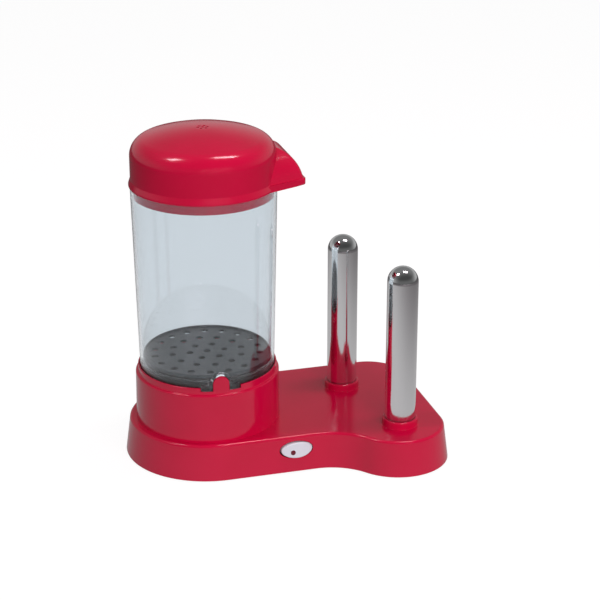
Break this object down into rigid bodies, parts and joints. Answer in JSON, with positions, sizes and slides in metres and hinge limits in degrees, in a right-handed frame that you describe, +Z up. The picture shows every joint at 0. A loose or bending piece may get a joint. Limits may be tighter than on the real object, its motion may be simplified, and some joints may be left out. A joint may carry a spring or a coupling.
{
  "type": "hot dog toaster",
  "caption": "Hot dog toaster: low base with an oval rocker switch, round pedestal with water dish, clear steaming container with domed lid, and upright heated spikes.",
  "frame": {"origin": "the container's axis where it meets the surface the toaster stands on, level with the undersides of the rubber feet", "axes": "+Z up along the container's axis, +X from the container towards the spikes, -Y the front with the switch"},
  "size_m": [0.258, 0.1753, 0.2789],
  "materials": {
    "red_plastic": "glossy crimson moulding",
    "dark_plastic": "fine texture",
    "zinc_steel": "zinc plated",
    "foot_rubber": "matt",
    "seal_rubber": "matt silicone",
    "dish_coating": "dark non-stick coating",
    "heater_sheath": "heat tinted sheath",
    "can_aluminium": "satin",
    "sleeve_white": "satin",
    "spike_chrome": "polished",
    "ceramic": "unglazed steatite",
    "contact_brass": "plain",
    "lamp_glass": "clear tube",
    "switch_white": "smooth",
    "lens_red": "translucent dark red",
    "clear_wall": "clear moulded plastic",
    "tray_grey": "satin dark grey"
  },
  "bodies": {
    "base": {"base_housing": "red_plastic", "pedestal": "red_plastic", "bottom_cover": "dark_plastic", "cover_screws": "zinc_steel", "rubber_foot_left_front": "foot_rubber", "rubber_foot_left_back": "foot_rubber", "rubber_foot_right_front": "foot_rubber", "rubber_foot_right_back": "foot_rubber", "heating_dish": "dish_coating", "dish_gasket": "seal_rubber", "dish_bridge": "zinc_steel", "dish_nut": "zinc_steel", "dish_heater": "heater_sheath", "thermostat": "can_aluminium", "thermostat_spring": "zinc_steel", "thermal_fuse": "sleeve_white", "spike_front": "spike_chrome", "spike_back": "spike_chrome", "spike_bush_front": "ceramic", "spike_bush_back": "ceramic", "spike_heater_front": "heater_sheath", "spike_heater_back": "heater_sheath", "spike_retainer_front": "zinc_steel", "spike_retainer_back": "zinc_steel", "retainer_screws": "zinc_steel", "switch_body": "dark_plastic", "rocker_pin": "zinc_steel", "switch_terminals": "contact_brass", "pilot_lamp": "lamp_glass", "cord_gland": "dark_plastic", "cord_clamp": "dark_plastic", "clamp_screws": "zinc_steel", "terminal_block": "sleeve_white", "terminal_screws": "contact_brass"},
    "rocker": {"rocker": "switch_white", "indicator_lens": "lens_red"},
    "container": {"container": "clear_wall"},
    "tray": {"steam_tray": "tray_grey"},
    "lid": {"lid": "red_plastic"}
  },
  "joints": [
    {"name": "container_lift", "type": "slide", "parent": "base", "child": "container", "axis": [0, 0, 1], "range_m": [0, 0.1]},
    {"name": "lid_lift", "type": "slide", "parent": "container", "child": "lid", "axis": [0, 0, 1], "range_m": [0, 0.12]},
    {"name": "tray_lift", "type": "slide", "parent": "container", "child": "tray", "axis": [0, 0, 1], "range_m": [0, 0.12]},
    {"name": "rocker_hinge", "type": "hinge", "parent": "base", "child": "rocker", "pos_m": [0.0579, -0.06188, 0.01904], "axis": [0, 0.1322, 0.9912], "range_deg": [-12, 0]}
  ]
}
